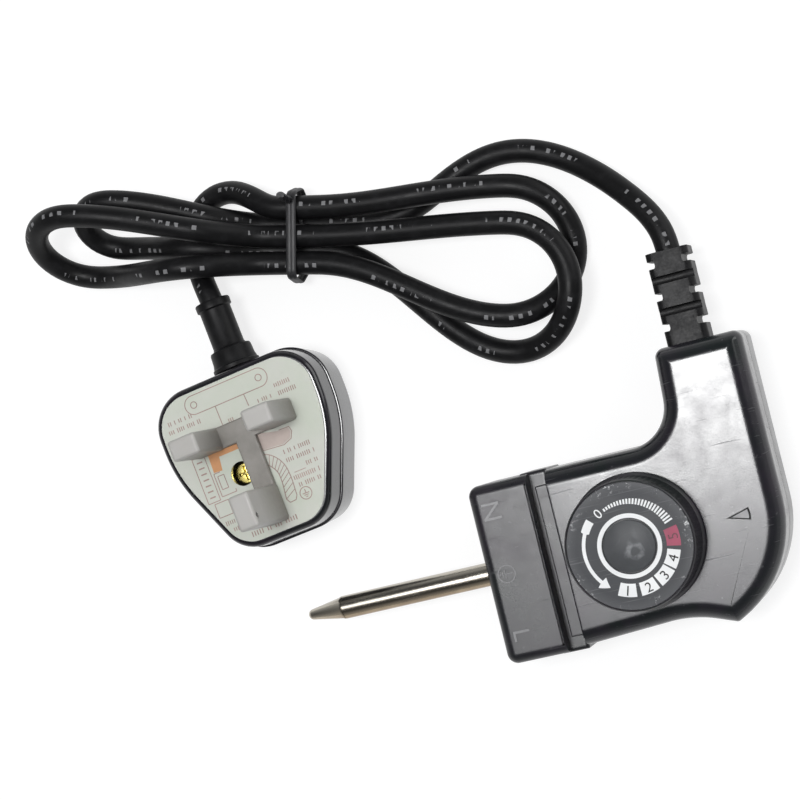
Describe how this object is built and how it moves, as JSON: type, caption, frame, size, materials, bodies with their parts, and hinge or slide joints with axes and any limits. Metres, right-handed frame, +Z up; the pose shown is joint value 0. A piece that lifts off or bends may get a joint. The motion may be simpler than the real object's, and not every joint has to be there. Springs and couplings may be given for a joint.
{
  "type": "griddle heat control",
  "caption": "Plug-in probe thermostat with a setting dial, its mains lead tied in a hank, and a fused plug with a cover on its pins.",
  "frame": {"origin": "on the surface the control lies on, under the middle of the thermostat's own box, its lead, hank and plug left out", "axes": "+X from the probe's point to the back of the handle, +Y the way the lead leaves the handle, +Z up out of the dial"},
  "size_m": [0.1908, 0.1551, 0.049],
  "materials": {
    "black_shell": "satin black moulding",
    "probe_steel": "polished stainless steel",
    "plain_steel": "zinc plated",
    "contact_brass": "stamped",
    "insulator": "unglazed ceramic look",
    "dial_grey": "dark grey moulding",
    "dial_label": "dark grey plate with light marks",
    "cap_black": "smooth cap",
    "wire_brown": "insulated core",
    "wire_blue": "insulated core",
    "wire_green": "insulated core",
    "cord_rubber": "satin rubber",
    "tie_black": "coated wire tie",
    "plug_black": "glossy moulding",
    "card": "pale printed card",
    "pin_brass": "bright",
    "frosted_grey": "frosted"
  },
  "bodies": {
    "housing": {"upper_housing": "black_shell", "lower_housing": "black_shell", "connector_block": "black_shell", "probe_tube": "probe_steel", "probe_tip": "probe_steel", "transfer_rod": "plain_steel", "probe_collar": "plain_steel", "earth_tag": "plain_steel", "live_socket": "contact_brass", "neutral_socket": "contact_brass", "mechanism_frame": "plain_steel", "insulator_stack": "insulator", "stack_screw": "plain_steel", "sensing_blade": "contact_brass", "blade_carrier": "contact_brass", "adjuster_bush": "contact_brass", "housing_screws": "plain_steel", "live_wire": "wire_brown", "load_wire": "wire_brown", "neutral_wire": "wire_blue", "earth_wire": "wire_green", "strain_relief": "cord_rubber", "cord_lead": "cord_rubber", "cord_hank": "cord_rubber", "plug_lead": "cord_rubber", "twist_tie": "tie_black", "plug_sleeve": "cord_rubber", "plug_base": "plug_black", "plug_cover": "plug_black", "plug_card": "card", "live_pin": "pin_brass", "neutral_pin": "pin_brass", "earth_pin": "pin_brass", "plug_screw": "pin_brass", "fuse": "insulator", "fuse_clips": "contact_brass", "cord_grip": "plug_black", "grip_screws": "plain_steel"},
    "dial": {"dial_knob": "dial_grey", "dial_plate": "dial_label", "knob_cap": "cap_black", "knob_screw": "plain_steel", "dial_spindle": "plain_steel"},
    "adjuster": {"adjuster_pin": "insulator"},
    "contact_arm": {"moving_blade": "contact_brass"},
    "pin_guard": {"pin_cover": "frosted_grey"}
  },
  "joints": [
    {"name": "dial_turn", "type": "hinge", "parent": "housing", "child": "dial", "pos_m": [0.029, -0.02275, 0.03], "axis": [0, 0, 1], "range_deg": [0, 238]},
    {"name": "adjuster_slide", "type": "slide", "parent": "housing", "child": "adjuster", "axis": [0, 0, 1], "range_m": [0, 0.00054]},
    {"name": "blade_flex", "type": "hinge", "parent": "housing", "child": "contact_arm", "pos_m": [0.0381, -0.02325, 0.0131], "axis": [0, 1, 0], "range_deg": [0, 3.4]},
    {"name": "pin_cover_lift", "type": "slide", "parent": "housing", "child": "pin_guard", "axis": [0, 0, 1], "range_m": [0, 0.024]}
  ],
  "couplings": [
    {"joint": "adjuster_slide", "follows": "dial_turn", "m_per_rad": 0.00012732},
    {"joint": "blade_flex", "follows": "dial_turn", "ratio": 0.013992}
  ]
}
